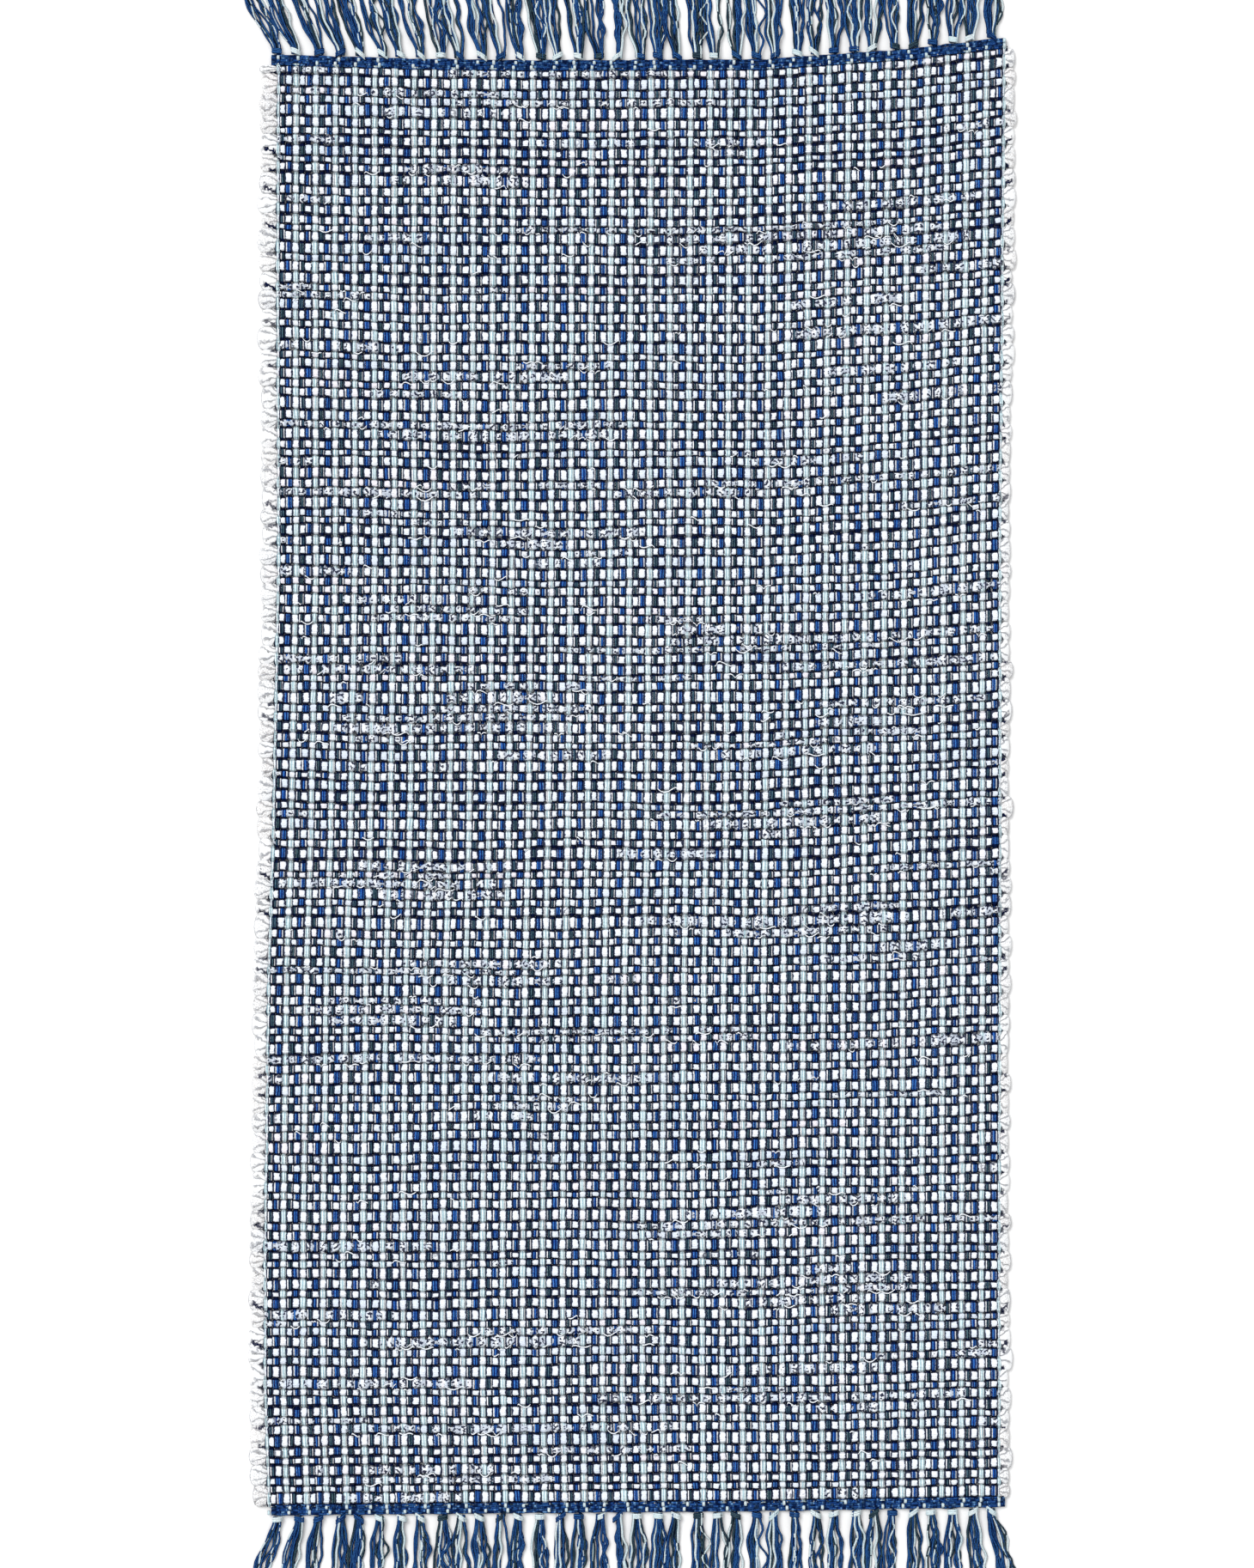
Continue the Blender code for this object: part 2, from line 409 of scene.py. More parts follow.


# %% [markdown]
# ## Finishes
#
# Cotton is matt. What tells the rag from the yarn is the surface: the rag is
# a soft jersey strip with faint tints and small printed bits, the yarn is a
# few plied threads with a painted highlight on each ply and painted shade
# between them. Where strands press together hardly any light gets in, and the
# gaps are narrower than a mesh of this size can show, so each finish paints
# shade towards the crossings.


# %% Shader helpers
def new_finish(name, roughness, shine):
    """A cotton material, its tree, and its shader."""
    material = bpy.data.materials.new(name)
    material.use_nodes = True
    tree = Tree(material.node_tree)
    shader = material.node_tree.nodes["Principled BSDF"]
    shader.inputs["Roughness"].default_value = roughness
    shader.inputs["Specular IOR Level"].default_value = shine
    return material, tree, shader


def attribute(tree, name):
    """The three numbers of a vector attribute of the mesh."""
    vector = tree.node("ShaderNodeAttribute", {"attribute_name": name}, None, "Vector")
    return tree.parts(vector)


def blend(tree, share, first, second):
    """A colour between two colours, each a link or three numbers."""
    colours = [c if isinstance(c, Link) else (*c, 1.0) for c in (first, second)]
    return tree.node(
        "ShaderNodeMix",
        {"data_type": "RGBA", "clamp_factor": True},
        {0: share, 6: colours[0], 7: colours[1]},
        2,
    )


def finish_with(tree, shader, colour, height, depth):
    """Link a colour and a bump height, which is in metres of depth, to a shader."""
    bump = tree.node("ShaderNodeBump", None, {"Strength": 1.0, "Distance": depth, "Height": height})
    tree.tree.links.new(colour.socket, shader.inputs["Base Color"])
    tree.tree.links.new(bump.socket, shader.inputs["Normal"])


# %% The weave's gaps and worn patches
def gap_swell(tree, place, line):
    """How much wider the painted shade in the gap between two picks is at a place along it."""
    chosen = rise(chance(tree, line, 31.0), 0.82, 0.86)
    stretch = rise(cloud(tree, place * 0.05, line, 6.0), 0.46, 0.52)
    short = rise(cloud(tree, place * 0.09, line * 1.7, 9.0), 0.57, 0.66)
    return short * 0.09 + chosen * stretch * 0.20


def worn(tree, across, pick):
    """1 where the rag is frayed. Frays lie in long, low patches along the picks."""
    return rise(cloud(tree, across * 1.1, pick * 0.45, 2.0, 3.0), 0.55, 0.60)


# %% Rag finish
FIBRES = 900                     # waves of fine grain in a metre
LUMPS = 330                      # waves of soft lumps in a metre
RAG_RELIEF = 0.0008
# The next two edges bound the painted shade where a swelling ends and where the rag meets the next
# pick.
PUFF_EDGE = (0.345, 0.415)       # a swelling's end, in warp spaces from its middle
ROW_EDGE = (0.73, 0.81)          # the rag's edge, in half rows from its middle
RAG_WHITE = (0.90, 0.94, 0.98)
RAG_BLUSH = (0.92, 0.82, 0.88)
# The cool blue is a random tint of the rag, and also painted shade with painted bounce light from
# the blue yarn on the flanks of the swellings.
RAG_COOL_TINT_AND_FLANK_SHADE = (0.62, 0.72, 0.88)
RAG_EDGE = (0.83, 0.83, 0.83)
RAG_PRINT = (0.42, 0.38, 0.36)
# The grey is painted shade in the lobes' creases and along their outlines, and also the grainy
# speckle of some lobes.
RAG_CREASE_SHADE_AND_SPECKLE = (0.26, 0.27, 0.30)
# Painted shade: a near-black navy laid into the gaps, crossings, outlines and creases, where little
# light gets in.
PAINTED_CREVICE_SHADE = (0.0008, 0.0040, 0.034)


def rag_finish(name, kind):
    """White jersey rag. On woven rag, mark is the pick, the place in warp ends, and the fray."""
    material, tree, shader = new_finish(name, 0.92, 0.02)
    side, up, ring = attribute(tree, "local")
    pick, place, lump = attribute(tree, "mark")
    tint = cloud(tree, place * 0.03, pick * 2.1, 7.0)
    colour = blend(tree, rise(tint, 0.52, 0.70) * 0.6, RAG_WHITE, RAG_BLUSH)
    colour = blend(tree, rise(tint, 0.50, 0.32) * 0.6, colour, RAG_COOL_TINT_AND_FLANK_SHADE)
    colour = blend(tree, rise(lump, 0.1, 0.5) * 0.9, colour, RAG_WHITE)
    here = tree.node("ShaderNodeTexCoord", None, None, "Object")
    x, y, z = tree.parts(here)
    grain = cloud(tree, x * FIBRES, y * FIBRES, z * 500, 3.0)
    shape = cloud(tree, x * LUMPS, y * LUMPS, 4.0, 1.0) - 0.5
    height = grain
    if kind == "woven":
        strip = cloud(tree, place * 0.03 + pick * 0.37, pick * 1.3, 2.0)
        specks = rise(grain, 0.60, 0.68) * (0.25 + 0.75 * rise(strip, 0.56, 0.62))
        colour = blend(tree, specks * 0.6, colour, RAG_PRINT)
        puff = (place + pick + 1) * 0.5
        off = 2 * size_of(puff - whole(puff + 0.5)) + (grain - 0.5) * 0.18 + shape * 0.35
        # Painted cool shade on the flanks of each swelling.
        colour = blend(tree, rise(off, 0.18, 0.40) * 0.6, colour, RAG_COOL_TINT_AND_FLANK_SHADE)
        # Painted shade where the warp presses a swelling down, less on frayed lumps, and painted
        # shade in dark clumps on frayed patches.
        gap_shade = rise(off, *PUFF_EDGE) * (1 - 0.8 * rise(lump, 0.2, 0.6))
        clump = cloud(tree, x * 400, y * 460, 8.0, 1.0)
        gap_shade = maths("MAXIMUM", gap_shade, rise(clump, 0.50, 0.56) * rise(lump, 0.1, 0.4))
        # Painted shade in the gap between two picks, lighter beside the aqua ends.
        line = whole(pick + 0.5 + 0.5 * side)
        edge = size_of(side) + gap_swell(tree, place, line)
        edge = edge + (grain - 0.5) * 0.10 + shape * 0.22
        off_aqua = rise(size_of(place - 3 * whole(place * (1 / 3) + 0.5)), 0.20, 0.44)
        row_shade = rise(edge, *ROW_EDGE) * (1 - 0.3 * lump) * (0.35 + 0.65 * off_aqua)
        gap_shade = maths("MAXIMUM", gap_shade, row_shade)
        colour = blend(tree, gap_shade * 0.96, colour, PAINTED_CREVICE_SHADE)
        ribs = sine(side * 22 + 3 * grain)
        height = ribs * 0.15 + grain
    if kind == "turned":
        out, wide, tall = side, up, ring
        colour = blend(tree, 0.75, colour, RAG_EDGE)
        # Painted shade in the creases of the lobe, on its inner part.
        fold = sine(place * 1.5 + 8 * cloud(tree, x * 160, y * 160, z * 160, 2.0))
        inner = 1 - rise(out, 0.4, 1.0)
        colour = blend(tree, rise(fold, 0.80, 0.97) * inner * 0.85, colour, RAG_CREASE_SHADE_AND_SPECKLE)
        spots = tree.node(
            "ShaderNodeTexVoronoi", {"feature": "F1"}, {"Vector": tree.vector(x * 190, y * 190, 0)}
        )
        rings = 1 - rise(size_of(spots - 0.36), 0.05, 0.12)
        chosen = rise(chance(tree, pick, 6.0), 0.70, 0.72)
        colour = blend(tree, rings * chosen * 0.8, colour, RAG_PRINT)
        # Painted shade along the lobe's outline, stronger towards its outer end.
        rim_shade = 1 - rise(size_of(tall) + shape * 0.4, 0.22, 0.44)
        rim_shade = rim_shade * rise(chance(tree, pick, 17.0), 0.25, 0.75)
        colour = blend(tree, rim_shade * (0.35 + 0.45 * rise(out, 0.2, 0.7)), colour, RAG_CREASE_SHADE_AND_SPECKLE)
        grainy = rise(chance(tree, pick, 12.0), 0.45, 0.50)
        grains = rise(cloud(tree, x * 800, y * 800, 3.0, 1.0), 0.50, 0.62)
        colour = blend(tree, grains * grainy * 0.45, colour, RAG_CREASE_SHADE_AND_SPECKLE)
        # Painted shadow in a dark wedge on some lobes, painted shade in some lobes' inner corners,
        # and painted shade where each lobe tucks under the cloth.
        bold = rise(chance(tree, pick, 15.0), 0.80, 0.82)
        wedge_shadow = 1 - rise(size_of(wide + 0.5 - 0.5 * out + shape), 0.12, 0.24)
        wedge_shadow = wedge_shadow * bold * (1 - rise(out, 0.3, 0.7))
        colour = blend(tree, wedge_shadow, colour, PAINTED_CREVICE_SHADE)
        outwards = out - 0.8 * chance(tree, pick, whole(wide + 1), 9.0)
        corner = rise(size_of(wide) + shape, 0.55, 0.72) * (1 - rise(outwards, -0.60, -0.30))
        corner = corner * rise(chance(tree, pick, 16.0) + 0.35 * rise(x, -0.01, 0.01), 0.74, 0.78)
        dark = maths("MAXIMUM", corner, 1 - rise(out, -0.86, -0.74))
        colour = blend(tree, dark, colour, PAINTED_CREVICE_SHADE)
        height = grain * 0.5 - rise(fold, 0.4, 1.0) * inner
    finish_with(tree, shader, colour, height, RAG_RELIEF)
    return material


rag_woven, rag_turned, rag_loose = (
    rag_finish("rag_" + kind, kind) for kind in ("woven", "turned", "loose")
)
print("rag finishes:", rag_woven.name, rag_turned.name, rag_loose.name)

# %% Yarn finish
# Besides body and other, each yarn has a painted highlight colour for the crests of its plies
# and a painted shade colour for their grooves. Unsplit is the share of floats with no painted
# dark split between their plies, and the last number is how dark the painted shade in their gaps
# is.
YARNS = {
    "blue": {
        "body": (0.010, 0.068, 0.400),
        "other": (0.005, 0.024, 0.170),
        "ply_highlight": (0.080, 0.300, 0.680),
        "ply_shade": (0.003, 0.008, 0.060),
        "unsplit": 0.30,
        "gap_shade": 1.0,
    },
    "dark": {
        "body": (0.007, 0.028, 0.046),
        "other": (0.016, 0.056, 0.120),
        "ply_highlight": (0.130, 0.230, 0.260),
        "ply_shade": (0.003, 0.006, 0.016),
        "unsplit": 0.20,
        "gap_shade": 1.0,
    },
    "aqua": {
        "body": (0.780, 0.930, 0.960),
        "other": (0.670, 0.880, 0.940),
        "ply_highlight": (0.960, 0.985, 0.985),
        "ply_shade": (0.260, 0.420, 0.500),
        "unsplit": 0.60,
        "gap_shade": 0.4,
    },
}
SLIVER = (0.95, 0.97, 1.00)
# Painted highlight streaks along the band's yarns.
BAND_HIGHLIGHT_STREAK = (0.20, 0.42, 0.74)
YARN_RELIEF = 0.0004
# The next edge bounds the painted shade where a warp float dives between two picks.
FLOAT_EDGE = (0.370, 0.406)      # a warp float's end, in rows from its middle
TWIST = 2600                     # radians that the ply turns in a metre


def yarn_finish(name, colours, kind, rim_shade_start):
    """Plied cotton yarn. Its mark is the strand, the metres along it, and its pick or group."""
    material, tree, shader = new_finish(name, 0.85, 0.03)
    side, up, _ = attribute(tree, "local")
    strand, along, pick = attribute(tree, "mark")
    float_number = whole(along * 90 if kind == "loose" else pick)
    dice = chance(tree, float_number, strand, 3.0).out("Color")
    luck, turn, spare = tree.parts(dice)
    colour = blend(tree, luck, colours["body"], colours["other"])
    drift_of_ply = cloud(tree, along * 60, strand * 3.7, 1.0)
    threads = sine(side * 8.5 + 5 * drift_of_ply + strand * 2.1 + turn * 6)
    flecks = cloud(tree, along * 520, side * 5 + strand * 9, up * 3, 3.0)
    # Painted highlight on the crests of the plies and painted shade in the grooves between them,
    # broken by random flecks.
    ply_highlight = rise(threads * 0.5 + 0.5 + (flecks - 0.5) * 1.6, 0.60, 1.10)
    ply_shade = rise(0.55 - (threads * 0.5 + 0.5) + (flecks - 0.5) * 1.2, 0.0, 0.35)
    colour = blend(tree, ply_highlight * 0.85, colour, colours["ply_highlight"])
    colour = blend(tree, ply_shade * 0.85, colour, colours["ply_shade"])
    if kind == "warp":
        # Painted shade between the plies of many floats, on both sides of a pale sliver.
        leaning = side * (2 * whole(turn + 0.5) - 1) + (flecks - 0.5) * 0.2
        shown = rise(spare, colours["unsplit"], colours["unsplit"] + 0.1)
        split_shade = rise(leaning, 0.24, 0.32) * (1 - rise(leaning, 0.84, 0.92)) * shown
        colour = blend(tree, split_shade * 0.95, colour, PAINTED_CREVICE_SHADE)
        sliver = rise(leaning, 0.38, 0.46) * (1 - rise(leaning, 0.78, 0.86)) * shown
        colour = blend(tree, sliver, colour, SLIVER)
        # Painted shade where a float dives between two picks, and along its sides where it meets
        # the rag.
        across_gap = size_of(pick - whole(pick) - 0.5)
        swell = gap_swell(tree, strand, whole(pick + 0.5))
        gap_shade = rise(across_gap + swell * 0.5 + (flecks - 0.5) * 0.04, *FLOAT_EDGE)
        gap_shade = gap_shade * colours["gap_shade"]
        outermost = rise(size_of(strand - MIDDLE_END), MIDDLE_END - 0.4, MIDDLE_END - 0.2)
        from_core = size_of(side) + 0.35 * outermost
        gap_shade = maths("MAXIMUM", gap_shade, rise(from_core, rim_shade_start, rim_shade_start + 0.16))
        colour = blend(tree, gap_shade * 0.96, colour, PAINTED_CREVICE_SHADE)
    else:
        # Painted shade along the sides of each loose yarn.
        rim_shade = rise(size_of(side) + (flecks - 0.5) * 0.3, rim_shade_start, rim_shade_start + 0.28)
        if kind == "band":
            # Painted shade between the groups of the band where they are pressed together.
            group_edge = size_of(pick - whole(pick) - 0.5) + (flecks - 0.5) * 0.1
            pressed = rise(chance(tree, strand, whole(pick + 0.5), 5.0), 0.30, 0.40)
            rim_shade = maths("MAXIMUM", rim_shade, rise(group_edge, 0.36, 0.44) * pressed)
            # Painted highlight in pale streaks along the band.
            highlight_streak = rise(cloud(tree, along * 240, strand * 5, 2.0), 0.54, 0.60)
            colour = blend(tree, highlight_streak * 0.8, colour, BAND_HIGHLIGHT_STREAK)
            # Painted shade in dark streaks along the band.
            shade = rise(cloud(tree, along * 190, strand * 7, 5.0), 0.48, 0.56)
            rim_shade = maths("MAXIMUM", rim_shade, shade)
        colour = blend(tree, rim_shade * 0.85, colour, PAINTED_CREVICE_SHADE)
    twist = sine(along * TWIST + 1.5 * side)
    finish_with(tree, shader, colour, threads * 0.5 + twist * 0.25 + flecks, YARN_RELIEF)
    return material


LOOSE_YARNS = {
    "blue": {**YARNS["blue"], "body": (0.006, 0.046, 0.250), "other": (0.004, 0.018, 0.110)},
    "dark": {**YARNS["dark"], "other": (0.006, 0.020, 0.060)},
    "aqua": {**YARNS["aqua"], "body": (0.95, 0.99, 0.99), "ply_shade": (0.45, 0.62, 0.68)},
}
# Where the painted shade along the sides of each yarn begins, across its width.
WARP_RIMS = {"blue": 0.78, "dark": 0.76, "aqua": 0.84}
LOOSE_RIMS = {"blue": 0.46, "dark": 0.50, "aqua": 0.70}
warp_finish, loose_finish = {}, {}
for tone, colours in YARNS.items():
    warp_finish[tone] = yarn_finish("warp_" + tone, colours, "warp", WARP_RIMS[tone])
    loose_finish[tone] = yarn_finish("yarn_" + tone, LOOSE_YARNS[tone], "loose", LOOSE_RIMS[tone])
band_finish = yarn_finish("band_blue", YARNS["blue"], "band", 0.60)
print("yarn finishes:", len(warp_finish) + len(loose_finish) + 1)

# %% [markdown]
# ## Warp ends
#
# 112 ends run the length of the rug, in the order aqua, green-black, blue.
# Each passes over one pick and under the next. A ring at both shoulders of
# every float is enough: the yarn is flat on the float and dives between two
# picks.

# %% Warp ends
MIDDLE = 0.00235                 # height of the weave's middle layer
WARP_RISE = 0.00135
SHOULDER = 0.07                  # how far rings move to a float's shoulders, in picks
OUTER_END = 0.28                 # the two outer ends are set this much closer, in ends
OUTER_SLIM = 0.12                # and are this much thinner
OUTER_LIFT = 0.8                 # and dive this much less
TONES = ("aqua", "dark", "blue")
GIRTHS = {"aqua": 1.18, "dark": 0.98, "blue": 1.12}


def across_of(end):
    """Place across the rug, -1..1, of a place counted in warp ends.

    The dark ends are the thinnest, so they have less room than the others.
    """
    moved = end - 0.08 * sine(2 * math.pi / 3 * (end - 1))
    return held((moved - MIDDLE_END) * (1 / (MIDDLE_END - OUTER_END)), -1.0, 1.0)


def warp_place(first):
    """The formula of the warp ends of one colour."""

    def place(strand, side, up, ring, size):
        tree = strand.tree
        end = strand * 3 + first
        even = ring * (PICKS + 0.5) - 0.25
        pick = even - SHOULDER * sine(2 * math.pi * even)
        over = 1 - 2 * odd(whole(even) + end)
        across = across_of(held(end, OUTER_END, ENDS - 1 - OUTER_END))
        outermost = rise(size_of(across), 0.996, 0.999)
        outer = 1 - OUTER_SLIM * outermost
        stray = (cloud(tree, pick * 0.13, end * 5, 3.0) - 0.5) * size["Stray"]
        fat = size["Girth"] * (1 + 0.40 * (chance(tree, whole(even), end) - 0.5))
        half = size["Half width"] * outer * fat * (0.86 + 0.14 * over)
        x = warp_x(across, pick * (1 / PICKS)) + stray + side * half
        y = pick_line(pick, across)
        height = over + (1 - over) * OUTER_LIFT * outermost
        z = height * size["Rise"] + up * size["Half thickness"] + MIDDLE
        return (x, y, z), (end, y, pick)

    return place


def make_warp():
    """One piece for each colour of warp end."""
    pieces = []
    for first, tone in enumerate(TONES):
        counts = {"Strands": len(range(first, ENDS, 3)), "Sides": 4, "Rings": 2 * PICKS + 1}
        sizes = {"Half width": 0.00235, "Half thickness": 0.00055, "Rise": WARP_RISE}
        sizes.update({"Stray": 0.0028, "Girth": GIRTHS[tone]})
        place = warp_place(first)
        pieces.append(grow("warp_" + tone, warp_finish[tone], "tube", counts, sizes, place))
    return pieces


warp = make_warp()

# %% [markdown]
# ## Rag picks
#
# The rag is thick and soft, so it swells into a small pillow wherever no yarn
# holds it down. Five rings describe two crossings: three over the swelling
# and two where the warp presses on it. The rug is past what one piece should
# hold, so the picks are three pieces, each a stretch of the same cloth.

# %% Rag picks
RAG_RINGS = (
    {"ring": 0, "place": -0.47, "lift": 0.34, "width": 0.88, "height": 0.84},
    {"ring": 1, "place": 0.00, "lift": 0.40, "width": 0.98, "height": 1.00},
    {"ring": 2, "place": 0.47, "lift": 0.34, "width": 0.88, "height": 0.84},
    {"ring": 3, "place": 0.76, "lift": -0.40, "width": 0.84, "height": 0.86},
    {"ring": 4, "place": 1.24, "lift": -0.40, "width": 0.84, "height": 0.86},
)
RAG_SEGMENTS = 282               # 57 swellings of five rings, less the last two
RAG_STRETCHES = ("rag_near", "rag_middle", "rag_far")
STRETCH_PICKS = PICKS // len(RAG_STRETCHES)


def rag_place(first):
    """The formula of the rag picks from one pick on."""

    def place(strand, side, up, ring, size):
        tree = strand.tree
        pick = strand + first
        index = whole(ring * RAG_SEGMENTS + 0.5)
        period = whole((index + 0.5) * 0.2)
        kind = index - 5 * period
        jitter = (chance(tree, period, pick, 8.0) - 0.5) * size["Stray"] * held(2 - kind, 0, 1)
        end = 2 * period - 1 + odd(pick) + read(RAG_RINGS, "ring", "place", kind) + jitter
        across = across_of(end)
        lump = worn(tree, across, pick) * rise(chance(tree, index, pick, 2.0), 0.42, 0.66)
        before, after = pick_line(pick, across), pick_line(pick + 1, across)
        swell = chance(tree, whole(end + 0.5), pick)
        ragged = (chance(tree, index, pick, 4.0) - 0.5) * lump
        wide = read(RAG_RINGS, "ring", "width", kind) * (0.94 + 0.1 * swell)
        wide = wide * (1 - 0.1 * lump + 0.9 * ragged)
        tall = read(RAG_RINGS, "ring", "height", kind) * (0.92 + 0.14 * swell) * (1 + 0.25 * lump)
        lift = read(RAG_RINGS, "ring", "lift", kind) + lump * 0.75 + ragged * 1.4
        x = warp_x(across, (pick + 0.5) * (1 / PICKS))
        y = (before + after) * 0.5 + side * wide * (after - before) * 0.5
        z = lift * size["Lift"] + up * tall * size["Half thickness"] + MIDDLE
        return (x, y, z), (pick, end, lump)

    return place


def make_rag():
    """The rag picks, in three stretches."""
    pieces = []
    for number, name in enumerate(RAG_STRETCHES):
        counts = {"Strands": STRETCH_PICKS, "Sides": 6, "Rings": RAG_SEGMENTS}
        sizes = {"Half thickness": 0.0020, "Lift": 0.0010, "Stray": 0.34}
        place = rag_place(number * STRETCH_PICKS)
        pieces.append(grow(name, rag_woven, "tube", counts, sizes, place))
    return pieces


rag = make_rag()

# %% [markdown]
# ## Frayed threads
#
# Where the rag is worn, short curled threads stand out of it and cross the
# gaps between the picks. They are scattered over the whole cloth, and only
# those that fall on a worn patch are made.


# %% Frayed threads
THREAD_SPAN = 1.9                # of the cloth's width, which is 2 in these units
THREAD_MARGIN = 2                # picks at both ends without threads
THREAD_SHORTEST = 0.004
THREAD_LONGER = 0.012            # how much longer the longest one is
THREAD_HEIGHT = 0.0047


def thread_spot(strand):
    """Where a thread lies: its place across (-1..1) and its pick, at random."""
    dice = chance(strand.tree, strand, 41.0).out("Color")
    first, second, _ = strand.tree.parts(dice)
    across = first * THREAD_SPAN - THREAD_SPAN / 2
    return across, second * (PICKS - 2 * THREAD_MARGIN) + THREAD_MARGIN


def thread_place(strand, side, up, ring, size):
    """The formula of the frayed threads."""
    tree = strand.tree
    across, pick = thread_spot(strand)
    long, curl, phase = tree.parts(chance(tree, strand, 43.0).out("Color"))
    turn = phase * (2 * math.pi)
    reach = (ring - 0.5) * (THREAD_SHORTEST + THREAD_LONGER * long * long)
    bow = 0.0006 + 0.0016 * curl
    x = warp_x(across, pick * (1 / PICKS)) + reach + bow * sine(5.5 * ring + turn)
    y = pick_line(whole(pick + 0.5), across) + bow * sine(7.5 * ring + 2 * turn)
    y = y + (phase - 0.5) * 0.004 + side * size["Radius"]
    z = THREAD_HEIGHT + 0.0004 * sine(3 * turn + 4 * ring) + up * size["Radius"]
    return (x, y, z), (strand, ring * 3, 1.0)


def thread_kept(strand):
    """Only the threads on worn patches, and a few stray ones."""
    across, pick = thread_spot(strand)
    stray = rise(chance(strand.tree, strand, 47.0), 0.93, 0.94)
    return maths("GREATER_THAN", worn(strand.tree, across, pick) + stray, 0.5)


threads = grow(
    "rag_threads",
    rag_loose,
    "tube",
    {"Strands": 2300, "Sides": 3, "Rings": 8},
    {"Radius": 0.00058},
    thread_place,
    thread_kept,
)

# %% [markdown]
# ## Turns of the rag
#
# At both edges the rag turns back every second pick and bulges out as a
# rounded, creased lobe. Each lobe is a sphere pressed to a soft square; its
# creases fan out from where the outer warp end pulls it in.

# %% Turns
TURN_REACH = (
    {"along": 0.00, "left": 0.0150, "right": 0.0092},
    {"along": 0.12, "left": 0.0128, "right": 0.0088},
    {"along": 0.50, "left": 0.0132, "right": 0.0082},
    {"along": 0.66, "left": 0.0148, "right": 0.0084},
    {"along": 1.00, "left": 0.0158, "right": 0.0102},
)
TURNS = 74                       # on each edge, one for every second pick
TURN_UNEVEN = 0.0009
TURN_CHANCE = 0.003              # how far lobes differ in reach by chance
TURN_INSET = 0.07                # how much a lobe's outer corners are drawn in


def turn_place(side_sign):
    """The formula of the lobes of one edge."""

    def place(strand, out, wide, up, size):
        tree = strand.tree
        shift = 0 if side_sign < 0 else 1
        low = held(2 * strand - shift, 0, PICKS)
        high = held(2 * strand + 2 - shift, 0, PICKS)
        ring_size = maths("SQRT", out * out + wide * wide + 0.00001)
        square = maths("POWER", out * out * out * out + wide * wide * wide * wide + 0.00001, 0.25)
        out, wide = out * ring_size / square, wide * ring_size / square
        y_low, y_high = pick_line(low, side_sign), pick_line(high, side_sign)
        uneven = sine(2.7 * strand + side_sign) + 0.7 * sine(1.1 * strand)
        along = (low + high) * (0.5 / PICKS)
        reach = read(TURN_REACH, "along", "left" if side_sign < 0 else "right", along)
        reach = reach + TURN_UNEVEN * uneven + TURN_CHANCE * (chance(tree, strand, 3.0) - 0.5)
        edge = warp_x(side_sign, along)
        fan = wide / (out + 1.6)
        crease = cloud(tree, fan * 5, strand * 7, out * 0.6, 3.0) - 0.5
        inset = 1 - TURN_INSET * size_of(wide) * rise(out, 0.2, 1.0)
        x = side_sign * reach * ((out + 1) * 0.53 - 0.06) * (inset + 0.10 * crease) + edge
        tall = 0.49 + 0.09 * chance(tree, strand, 4.0)
        y = (y_low + y_high) * 0.5 + wide * (y_high - y_low) * tall
        z = up * (1 - 0.25 * rise(out, 0.1, 1.0)) * size["Half thickness"] + MIDDLE
        z = z + crease * size["Crease"] * rise(up, -0.6, 0.4)
        return (x, y, z), (strand * 2, fan * 9, out)

    return place


def make_turns():
    """The lobes of the left and the right edge."""
    pieces = []
    for name, sign in (("rag_turns_left", -1), ("rag_turns_right", 1)):
        counts = {"Strands": TURNS, "Sides": 16, "Rings": 9}
        sizes = {"Half thickness": 0.0022, "Crease": 0.0012}
        pieces.append(grow(name, rag_turned, "sphere", counts, sizes, turn_place(sign)))
    return pieces


turns = make_turns()

# %% [markdown]
# ## Header bands
#
# Five turns of thin blue yarn are packed across each end to lock the rag.
# Aqua warp ends show between them as pale dots.

# %% Header bands
BAND_ROWS = 5
BAND_HEIGHT = 0.0024
BAND_OVERHANG = 0.0030
BAND_WANDER = 0.0030             # how far its yarns stray from straight rows
BAND_RINGS = 4 * TASSELS
DOT_RISE = 0.0018                # how high a pale dot arches over the yarns
FIRST_STRANDS = {"band": 40, "dots": 70, "knots": 90}  # added, so that patterns differ


def band_place(end):
    """The formula of the blue yarns of one band."""

    def place(strand, side, up, ring, size):
        tree = strand.tree
        x = (ring * 2 - 1) * (HALF_WIDTH + BAND_OVERHANG)
        across = x * (1 / HALF_WIDTH)
        group = (across + 1) * (TASSELS / 2)
        dip = rise(size_of(group - whole(group) - 0.5), 0.30, 0.5)
        wander = (cloud(tree, group * 1.1, strand * 4, 1.0) - 0.5) * BAND_WANDER
        row = (strand + 0.5) * (BAND_WIDTH / BAND_ROWS)
        fat = 0.8 + 0.5 * cloud(tree, group * 1.7, strand * 9, 3.0)
        y = end_y(end, across) + SIDE_OF[end] * (row + wander) + side * fat * size["Half width"]
        z = BAND_HEIGHT - 0.0007 * dip + 0.0006 * sine(math.pi * (group + strand))
        z = z + up * fat * size["Half thickness"]
        return (x, y, z), (strand + FIRST_STRANDS["band"], x, group)

    return place


